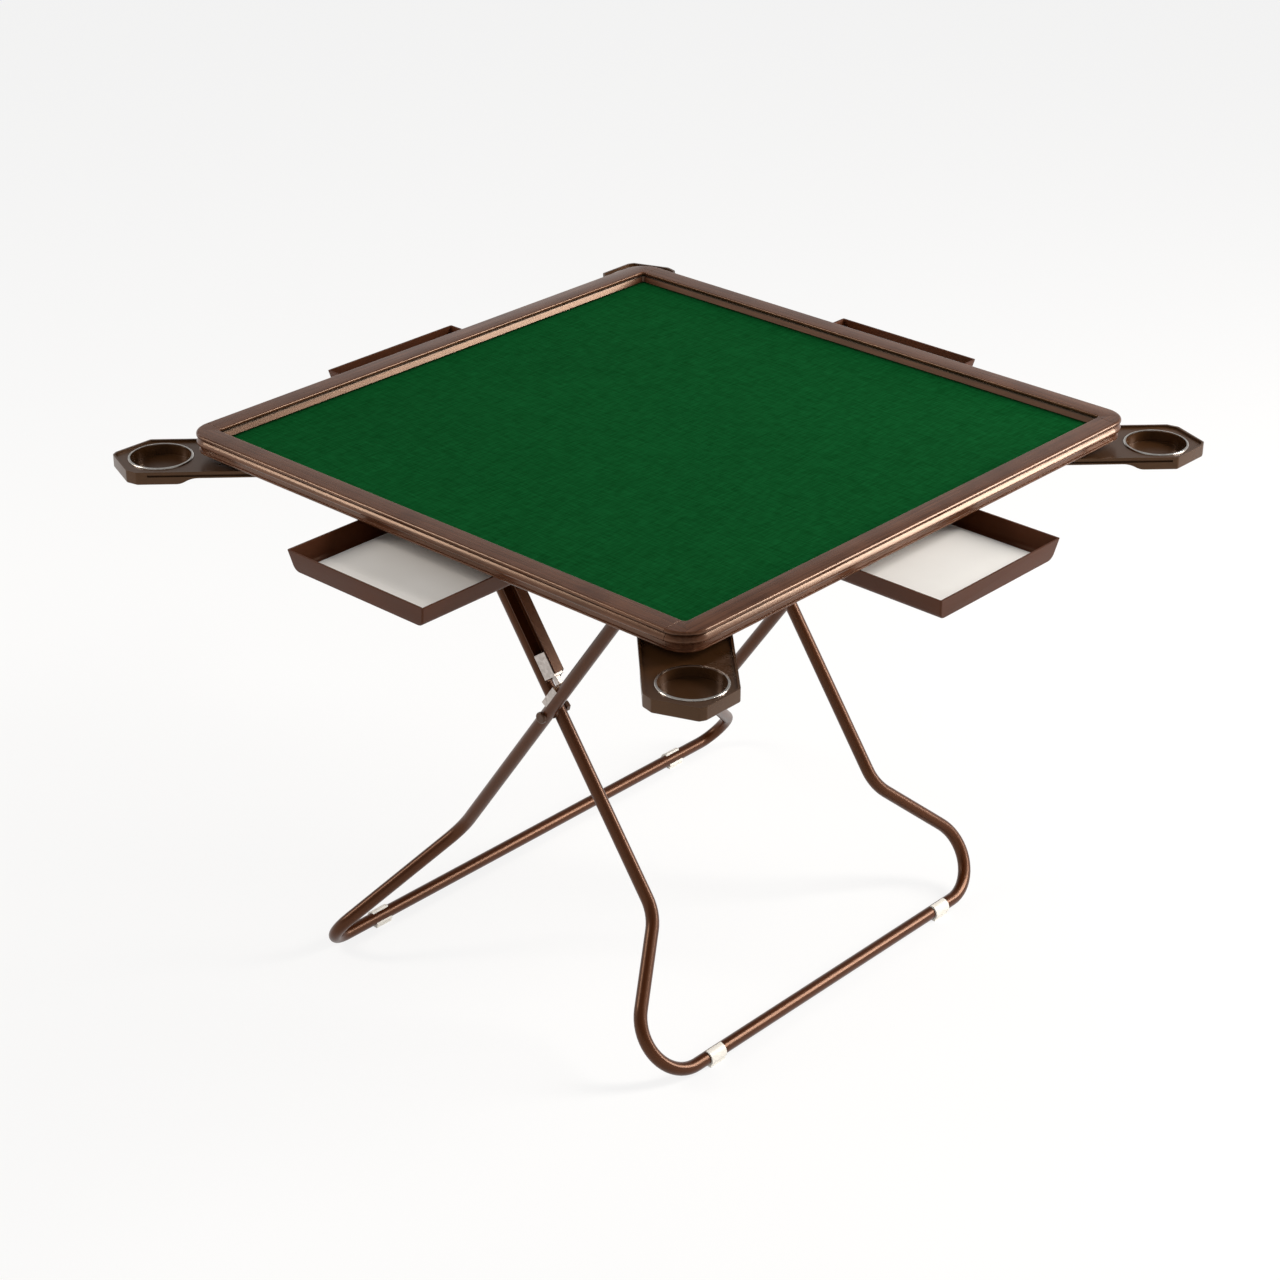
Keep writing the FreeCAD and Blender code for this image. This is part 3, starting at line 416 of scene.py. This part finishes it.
pine_across = softwood("sawn pine, grain along Y", "Y")
pine_along = softwood("sawn pine, grain along X", "X")
fibreboard = fine_grained("bare fibreboard", "#6a4d35", "#7d5f44",
                          roughness=0.85, grain_mm=1.6, depth_mm=0.08, shine=0.1)
print("wood:", pine_across.name, pine_along.name)

# %% [markdown]
# ## Give every solid its finish
# A rule by the start of a name is shorter than a list of all the nodes, and a longer name comes
# before the shorter one that it starts with. The last line says which nodes no rule has taken.
# The felt is one, because the solid is replaced further down.

# %% Finishes by name
FINISHES = [
    ("rim_", rim_pvc), ("playing_board", fibreboard), ("hinge_batten", pine_across),
    ("rail_batten", pine_along), ("slide_rail", tube_enamel), ("hinge_bracket", tube_enamel),
    ("hinge_bolts", zinc), ("pivot_bolts", bolt_enamel), ("lock_keeper", zinc),
    ("lock_latch", zinc), ("lock_channel", tube_enamel), ("outer_leg_frame", tube_enamel),
    ("inner_leg_frame", tube_enamel), ("inner_leg_top_bar", tube_enamel),
    ("outer_leg_plugs", plug_ldpe), ("inner_leg_plugs", plug_ldpe), ("slide_spool", nylon),
    ("foot_clip", clip_pp), ("drawer_guide", guide_abs), ("drawer_floor", panel),
    ("drawer_", drawer_abs), ("cup_guide", guide_abs), ("cup_holder", holder_abs),
    ("cup_ring", bright_plate), ("underside_screws", zinc),
]


def finish_of(name):
    """The material of the first rule that fits the node's name, or None."""
    return next((material for start, material in FINISHES if name.startswith(start)), None)


for name, node in nodes.items():
    material = finish_of(name)
    if material:
        for slot in node.material_slots:
            slot.material = material
print("no finish yet:", [name for name in nodes if not finish_of(name)])

# %% [markdown]
# ## Softened edges
# No real edge is a knife edge: a mould leaves a small radius, a saw or a press leaves a burr
# that is filed off, and each of these catches a thin line of light. The solids have sharp edges
# where the radius is too small to matter for their working. A shader can fake the line of light,
# but a rounded mesh shows it in every program. So a copy of the solid is merged into one closed
# skin, its flat faces are joined up, and a Bevel modifier rounds every edge that is sharper than
# 35 degrees. Hardened normals keep the flat faces flat in the shading.

# %% Copies with soft edges
BODY_OF = {
    node: body for body, group in frame["record"]["behaviour"]["bodies"].items() for node in group}
SHARP = math.radians(35)
FLAT = math.radians(0.4)
SAME_POINT = 0.004 * MM


def merged(name):
    """The solid's triangles, with the points that several of them share made one."""
    shape = bmesh.new()
    shape.from_mesh(nodes[name].data)
    bmesh.ops.remove_doubles(shape, verts=shape.verts, dist=SAME_POINT)
    return shape


def joined_skin(name):
    """The solid as one closed skin, with its flat faces joined up."""
    shape = merged(name)
    bmesh.ops.dissolve_limit(shape, angle_limit=FLAT, verts=shape.verts, edges=shape.edges)
    return shape


def stand_in(name, shape, width_mm, limit):
    """Puts the skin in the solid's place, with rounded edges."""
    mesh = bpy.data.meshes.new(name + "_soft")
    shape.to_mesh(mesh)
    shape.free()
    if "custom_normal" in mesh.attributes:
        mesh.attributes.remove(mesh.attributes["custom_normal"])
    mesh.materials.clear()
    mesh.materials.append(finish_of(name))
    mesh.shade_smooth()
    piece = bpy.data.objects.new(name + "_soft", mesh)
    bpy.context.collection.objects.link(piece)
    bevel = piece.modifiers.new("soft edges", "BEVEL")
    bevel.width = width_mm * MM
    bevel.segments = 2
    bevel.limit_method = limit
    bevel.angle_limit = SHARP
    bevel.harden_normals = True
    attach(piece, BODY_OF[name])
    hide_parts(name)
    return piece


# %% Soften the pieces
# How wide the rounding is on each kind of piece, in millimetres.
SOFT_EDGES = {
    "drawer_floor": 0.4, "drawer_guide": 0.5, "drawer_": 0.6, "cup_guide": 0.5, "cup_holder": 0.6,
    "lock_channel": 0.4, "lock_latch": 0.6, "lock_keeper": 0.4, "foot_clip": 0.5,
    "hinge_batten": 1.2, "rail_batten": 1.2, "hinge_bracket": 0.4, "slide_rail": 0.4,
}
for name in sorted(nodes):
    width = next((w for start, w in SOFT_EDGES.items() if name.startswith(start)), None)
    if width:
        stand_in(name, joined_skin(name), width, "ANGLE")

# %% [markdown]
# ## Rim strips and their joints
# At each corner the straight end of one strip butts against the next. The cut ends are eased
# with a file, so every joint is a small V groove, and the side of it that faces the light shows
# as a bright line across the rim. The long moulded edges are much crisper. So the edges of the
# two cut ends get the full bevel and the others a fifth of it, by bevel weight.

# %% Rim with eased joints
JOINT_EASE_MM = 1.8
MOULDED_EDGE = 0.2
UPRIGHT = 0.01
# The section of the strip has more corners than this, and no other upright face has.
FEW_CORNERS = 12


def is_cut_end(face):
    """A cut end is upright and has the whole section as its outline."""
    return abs(face.normal.z) < UPRIGHT and len(face.verts) > FEW_CORNERS


for name in sorted(n for n in nodes if n.startswith("rim_")):
    shape = joined_skin(name)
    weight = shape.edges.layers.float.new("bevel_weight_edge")
    ends = [face for face in shape.faces if is_cut_end(face)]
    for edge in shape.edges:
        if len(edge.link_faces) == 2 and edge.calc_face_angle() > SHARP:
            edge[weight] = MOULDED_EDGE
    for face in ends:
        for edge in face.edges:
            edge[weight] = 1.0
    stand_in(name, shape, JOINT_EASE_MM, "WEIGHT")
    print(name, "cut ends", len(ends))

# %% [markdown]
# ## The felt
# The felt is glued down on the board inside the rim. It is one sheet of cloth. A single flat
# face would take the light too evenly, so it is made as a fine grid that is lifted and lowered
# by a few hundredths of a millimetre, as glue does, and then given its thickness.

# %% Felt sheet
FELT_THICK = 0.8 * MM
FELT_CELLS = 120
BELOW_CAD = 0.1 * MM
RIPPLE_HEIGHT = 0.04 * MM
# Radians per metre: the slow ripple is about 200 mm long, and the quick one 60 mm.
SLOW_X, SLOW_Y, QUICK_X, QUICK_Y = 31, 27, 83, 61


def felt_sheet():
    """The rippled sheet over the whole of the felt's box, and the size of that box."""
    low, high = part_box("felt")
    mesh = bpy.data.meshes.new("felt_cloth")
    shape = bmesh.new()
    bmesh.ops.create_grid(shape, x_segments=FELT_CELLS, y_segments=FELT_CELLS, size=0.5)
    size = high - low
    middle = (high + low) / 2
    for vertex in shape.verts:
        x = middle.x + vertex.co.x * size.x
        y = middle.y + vertex.co.y * size.y
        slow = math.sin(x * SLOW_X) * math.sin(y * SLOW_Y)
        quick = math.sin(x * QUICK_X + y * QUICK_Y)
        vertex.co = (x, y, high.z - BELOW_CAD + (slow + quick / 2) * RIPPLE_HEIGHT)
    shape.to_mesh(mesh)
    shape.free()
    mesh.materials.append(baize)
    mesh.shade_smooth()
    cloth = bpy.data.objects.new("felt_cloth", mesh)
    bpy.context.collection.objects.link(cloth)
    thickness = cloth.modifiers.new("thickness", "SOLIDIFY")
    thickness.thickness = FELT_THICK
    return cloth, size


felt, felt_size = felt_sheet()
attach(felt, "table_top")
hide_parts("felt")
print("felt", [round(s, 4) for s in felt_size])

# %% [markdown]
# ## Screws, grown by geometry nodes
# The guides, rails and brackets hang on cross-head screws, and more of them hold the board in
# its rim. One screw is a low turned head with a cross cut into it. To model it once and place
# it many times is the work of a node tree: the tree builds the head, sets one on every vertex of
# a mesh of bare points, scales it to its size, and turns each by a random angle, because nobody
# lines screws up. The seed is fixed, so the angles are the same in every run.

# %% A tree and how it is run
def new_tree(name, inputs):
    """An empty geometry tree with the given named inputs, and its input node's sockets."""
    tree = bpy.data.node_groups.new(name, "GeometryNodeTree")
    tree.interface.new_socket(name="Geometry", in_out="INPUT", socket_type="NodeSocketGeometry")
    for label, kind in inputs.items():
        tree.interface.new_socket(name=label, in_out="INPUT", socket_type=kind)
    tree.interface.new_socket(name="Geometry", in_out="OUTPUT", socket_type="NodeSocketGeometry")
    return tree, add(tree, "NodeGroupInput").outputs


def points_mesh(name, points, edges=()):
    """A mesh of points, and of edges if there are any, for a tree to grow on."""
    mesh = bpy.data.meshes.new(name)
    mesh.from_pydata(points, edges, [])
    return mesh


def grown(name, tree, base, values, body):
    """Runs the tree on the base mesh and keeps the result as a plain mesh on a body."""
    piece = bpy.data.objects.new(name, base)
    bpy.context.collection.objects.link(piece)
    modifier = piece.modifiers.new("grow", "NODES")
    modifier.node_group = tree
    for socket in tree.interface.items_tree:
        if socket.name in values:
            modifier[socket.identifier] = values[socket.name]
    evaluated = piece.evaluated_get(bpy.context.evaluated_depsgraph_get())
    mesh = bpy.data.meshes.new_from_object(evaluated)
    piece.modifiers.remove(modifier)
    piece.data = mesh
    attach(piece, body)
    print(name, "faces", len(mesh.polygons))
    return piece


# %% [markdown]
# The head is built with a radius of 1 and a height of 1, as a steep shoulder with a flatter
# crown on it, and two crossed bars are cut out of its top. So every number here is a share of
# the head's own size, and the real size comes in where the head is placed.

# %% The head of one screw
screw_tree, screw_in = new_tree("cross-head screws", {
    "Radius": "NodeSocketFloat", "Height": "NodeSocketFloat", "Seed": "NodeSocketInt"})
FACETS = 20
SHOULDER_TOP, CROWN_TOP, HALF_WAY = 0.94, 0.6, 0.5
# Length, width and height of a bar. Half of its height reaches into the head.
CUT = (0.95, 0.2, 0.7)
shoulder = add(screw_tree, "GeometryNodeMeshCone", {
    "Vertices": FACETS, "Radius Top": SHOULDER_TOP, "Radius Bottom": 1.0, "Depth": HALF_WAY})
crown = add(screw_tree, "GeometryNodeMeshCone", {
    "Vertices": FACETS, "Radius Top": CROWN_TOP, "Radius Bottom": SHOULDER_TOP,
    "Depth": 1.0 - HALF_WAY})
raised = add(screw_tree, "GeometryNodeTransform", {
    "Geometry": crown.outputs["Mesh"], "Translation": (0, 0, HALF_WAY)})
solid = add(screw_tree, "GeometryNodeMeshBoolean", operation="UNION", solver="EXACT")
screw_tree.links.new(shoulder.outputs["Mesh"], solid.inputs["Mesh 2"])
screw_tree.links.new(raised.outputs["Geometry"], solid.inputs["Mesh 2"])
head = add(screw_tree, "GeometryNodeMeshBoolean", {"Mesh 1": solid.outputs["Mesh"]},
           operation="DIFFERENCE", solver="EXACT")
for turn in (0.0, math.pi / 2):
    bar = add(screw_tree, "GeometryNodeMeshCube", {"Size": CUT})
    laid = add(screw_tree, "GeometryNodeTransform", {
        "Geometry": bar.outputs["Mesh"], "Translation": (0, 0, 1), "Rotation": (0, 0, turn)})
    screw_tree.links.new(laid.outputs["Geometry"], head.inputs["Mesh 2"])
print("nodes for one head", len(screw_tree.nodes))

# %% One head on every point
# The screws are driven in from below, so each head is turned over about X.
turns = add(screw_tree, "FunctionNodeRandomValue", {"Max": math.tau, "Seed": screw_in["Seed"]})
angles = add(screw_tree, "ShaderNodeCombineXYZ", {"X": math.pi, "Z": turns.outputs["Value"]})
head_size = add(screw_tree, "ShaderNodeCombineXYZ", {
    "X": screw_in["Radius"], "Y": screw_in["Radius"], "Z": screw_in["Height"]})
driven = add(screw_tree, "GeometryNodeInstanceOnPoints", {
    "Points": screw_in["Geometry"], "Instance": head.outputs["Mesh"],
    "Rotation": angles.outputs["Vector"], "Scale": head_size.outputs["Vector"]})
real = add(screw_tree, "GeometryNodeRealizeInstances", {"Geometry": driven.outputs["Instances"]})
painted = add(screw_tree, "GeometryNodeSetMaterial", {
    "Geometry": real.outputs["Geometry"], "Material": zinc})
add(screw_tree, "NodeGroupOutput", {"Geometry": painted.outputs["Geometry"]})
print("screw tree nodes", len(screw_tree.nodes))

# %% [markdown]
# The places of the hardware's screws are read from the solid that stands for them: each loose
# part of that node is one screw. The board's own screws stand in a row along each side, where
# the board lies under the rim. They are a little smaller.

# %% Screws of the hardware
def loose_parts(name):
    """The lowest and highest corner of each separate solid in a node, in a steady order."""
    shape = merged(name)
    waiting = set(shape.verts)
    boxes = []
    while waiting:
        reached = [waiting.pop()]
        corners = []
        while reached:
            vertex = reached.pop()
            corners.append(vertex.co.copy())
            beside = {edge.other_vert(vertex) for edge in vertex.link_edges} & waiting
            waiting -= beside
            reached += beside
        low = Vector(min(c[i] for c in corners) for i in range(3))
        high = Vector(max(c[i] for c in corners) for i in range(3))
        boxes.append((low, high))
    shape.free()
    return sorted(boxes, key=lambda box: tuple(round(c, 5) for c in box[0]))


hardware = loose_parts("underside_screws")
first_low, first_high = hardware[0]
screw_radius = (first_high.x - first_low.x) / 2
screw_height = first_high.z - first_low.z
# The flat back of a head stays a quarter of its height clear of the face above it.
places = [((low.x + high.x) / 2, (low.y + high.y) / 2, high.z - screw_height / 4)
          for low, high in hardware]
screws = grown("underside_screw_heads", screw_tree, points_mesh("screw_places", places),
               {"Radius": screw_radius, "Height": screw_height, "Seed": 4},
               "table_top")
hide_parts("underside_screws")

# %% Screws of the board
BOARD_SCREWS = 8
EDGE_TO_ROW, EDGE_TO_ROW_END = 7 * MM, 34 * MM
NARROWER, LOWER = 0.8, 0.7
half_board = (board_high.x - board_low.x) / 2
row_half = half_board - EDGE_TO_ROW_END
board_places = []
for side in range(4):
    turn = Matrix.Rotation(math.radians(90 * side), 3, "Z")
    for i in range(BOARD_SCREWS):
        along_row = (2 * (i + 0.5) / BOARD_SCREWS - 1) * row_half
        spot = turn @ Vector((along_row, EDGE_TO_ROW - half_board, 0))
        board_places.append((board_middle.x + spot.x, board_middle.y + spot.y,
                             board_low.z - screw_height / 6))
grown("board_screw_heads", screw_tree, points_mesh("board_screw_places", board_places),
      {"Radius": screw_radius * NARROWER, "Height": screw_height * LOWER, "Seed": 9},
      "table_top")
print("screws", len(hardware), "and", len(board_places))

# %% [markdown]
# ## Welds
# The cross tube of the inner frame is welded to the two legs. A weld is a row of overlapping
# ripples along the seam where two surfaces meet. A bent and dented ring would do from afar, but
# here two equal tubes meet, so the seam is a saddle: round the cross tube by an angle, and out
# along it by what the leg's roundness leaves. Each seam is a closed line of points, and a second
# tree turns it into a curve, spaces points along it evenly and sets a flattened ball on each.

# %% The weld tree
FLATTENED = (1.0, 1.0, 0.6)
weld_tree, weld_in = new_tree("weld ripples", {
    "Ripple": "NodeSocketFloat", "Spacing": "NodeSocketFloat"})
seam_curve = add(weld_tree, "GeometryNodeMeshToCurve", {"Mesh": weld_in["Geometry"]})
spaced = add(weld_tree, "GeometryNodeCurveToPoints", {
    "Curve": seam_curve.outputs["Curve"], "Length": weld_in["Spacing"]}, mode="LENGTH")
ball = add(weld_tree, "GeometryNodeMeshIcoSphere", {
    "Radius": weld_in["Ripple"], "Subdivisions": 3})
ripples = add(weld_tree, "GeometryNodeInstanceOnPoints", {
    "Points": spaced.outputs["Points"], "Instance": ball.outputs["Mesh"],
    "Rotation": spaced.outputs["Rotation"], "Scale": FLATTENED})
real = add(weld_tree, "GeometryNodeRealizeInstances", {"Geometry": ripples.outputs["Instances"]})
smooth = add(weld_tree, "GeometryNodeSetShadeSmooth", {"Geometry": real.outputs["Geometry"]})
painted = add(weld_tree, "GeometryNodeSetMaterial", {
    "Geometry": smooth.outputs["Geometry"], "Material": tube_enamel})
add(weld_tree, "NodeGroupOutput", {"Geometry": painted.outputs["Geometry"]})
print("weld tree nodes", len(weld_tree.nodes))

# %% The two seams
SEAM_POINTS = 48
RIPPLE, SPACING = 1.5 * MM, 1.6 * MM
# The seam keeps this far off the leg, so that the ripples aren't buried in it.
STAND_OFF = 0.4 * MM
JOINT_AT = {joint["name"]: Vector(joint["pos_m"]) for joint in frame["joints"] if "pos_m" in joint}
lean = (JOINT_AT["leg_fold"] - JOINT_AT["leg_cross"]).normalized()
bar_low, bar_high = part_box("inner_leg_top_bar")
bar_middle = (bar_low + bar_high) / 2
tube_radius = (bar_high.z - bar_low.z) / 2
half_length = (bar_high.y - bar_low.y) / 2
seam = []
links = []
for side in (-1, 1):
    first = len(seam)
    for i in range(SEAM_POINTS):
        turn = math.tau * i / SEAM_POINTS
        out = Vector((math.cos(turn), 0, math.sin(turn))) * tube_radius
        # The outer leg goes up along lean. The inner one goes up along its mirror image.
        off_leg = out.x * lean.z + out.z * lean.x
        leaves = math.sqrt(max(tube_radius ** 2 - off_leg ** 2, 0))
        y = side * (half_length - leaves - STAND_OFF)
        seam.append((bar_middle.x + out.x, bar_middle.y + y, bar_middle.z + out.z))
        links.append((first + i, first + (i + 1) % SEAM_POINTS))
grown("top_bar_welds", weld_tree, points_mesh("weld_seams", seam, links),
      {"Ripple": RIPPLE, "Spacing": SPACING}, "inner_leg")

# %% [markdown]
# ## Floor, sky and light
# The floor is pale and plain. The camera sees it as nearly white, but it still takes the soft
# shadow of the table, because only part of what the camera sees is its own white. A studio
# would have a curved backdrop behind the table. Here the sky does that work: it is white near
# the horizon, where it meets the floor, and greyer above. The light is an upright soft panel to
# the right, as a window would be, and a weaker one to the left.

# %% Floor paint
OWN_WHITE = 0.82
floor_paint, tree, shader = new_material("pale painted floor")
shader.inputs["Base Color"].default_value = linear("#f2f1ef")
shader.inputs["Roughness"].default_value = 0.9
shader.inputs["Specular IOR Level"].default_value = 0.0
rays = add(tree, "ShaderNodeLightPath")
direct = add(tree, "ShaderNodeMath", {
    0: rays.outputs["Is Camera Ray"], 1: rays.outputs["Is Glossy Ray"]}, operation="MAXIMUM")
seen = add(tree, "ShaderNodeMath", {
    0: direct.outputs["Value"], 1: rays.outputs["Is Transmission Ray"]}, operation="MAXIMUM")
share = add(tree, "ShaderNodeMath", {0: seen.outputs["Value"], 1: OWN_WHITE},
            operation="MULTIPLY")
white = add(tree, "ShaderNodeEmission", {"Color": linear("#ffffff"), "Strength": 1.0})
blend = add(tree, "ShaderNodeMixShader", {
    0: share.outputs["Value"], 1: shader.outputs["BSDF"], 2: white.outputs["Emission"]})
output = next(n for n in tree.nodes if n.type == "OUTPUT_MATERIAL")
tree.links.new(blend.outputs["Shader"], output.inputs["Surface"])
print(floor_paint.name)

# %% Floor
FLOOR_HALF = 60.0
floor_mesh = bpy.data.meshes.new("floor")
corners = [(x * FLOOR_HALF, y * FLOOR_HALF, 0) for x, y in ((-1, -1), (1, -1), (1, 1), (-1, 1))]
floor_mesh.from_pydata(corners, [], [(0, 1, 2, 3)])
floor_mesh.materials.append(floor_paint)
floor = bpy.data.objects.new("floor", floor_mesh)
bpy.context.collection.objects.link(floor)
print("floor", 2 * FLOOR_HALF, "m wide")

# %% Sky
# A direction's height is the sine of its angle above the horizon.
WHITE_BELOW, GREY_ABOVE = 0.21, 0.42
HORIZON, ZENITH = 1.0, 0.3
world = bpy.data.worlds.new("studio")
bpy.context.scene.world = world
world.use_nodes = True
tree = world.node_tree
tree.nodes.clear()
way = add(tree, "ShaderNodeTexCoord").outputs["Generated"]
rise = add(tree, "ShaderNodeSeparateXYZ", {"Vector": way}).outputs["Z"]
fall = add(tree, "ShaderNodeMapRange", {
    "Value": rise, "From Min": WHITE_BELOW, "From Max": GREY_ABOVE,
    "To Min": HORIZON, "To Max": ZENITH}, interpolation_type="SMOOTHSTEP")
backdrop = add(tree, "ShaderNodeBackground", {
    "Color": linear("#ffffff"), "Strength": fall.outputs["Result"]})
add(tree, "ShaderNodeOutputWorld", {"Surface": backdrop.outputs["Background"]})
print("sky from", HORIZON, "to", ZENITH)

# %% Lamps
TABLE_MIDDLE = Vector((0, 0, 0.5))


def soft_light(name, azimuth, elevation, distance, width, height, watts, tint):
    """An upright soft panel, sizes in metres, that faces the middle of the table."""
    lamp = bpy.data.objects.new(name, bpy.data.lights.new(name, "AREA"))
    bpy.context.collection.objects.link(lamp)
    lamp.data.shape = "RECTANGLE"
    lamp.data.size = width
    lamp.data.size_y = height
    lamp.data.energy = watts
    lamp.data.color = tint
    lamp.visible_camera = False
    back = direction(azimuth, elevation)
    lamp.location = TABLE_MIDDLE + back * distance
    lamp.rotation_euler = facing(back)


soft_light("window", azimuth=136.5, elevation=28, distance=3.2, width=0.8, height=2.2,
           watts=140, tint=(1.0, 0.96, 0.91))
soft_light("fill", azimuth=-48, elevation=34, distance=3.4, width=0.7, height=1.6,
           watts=46, tint=(1.0, 0.93, 0.85))
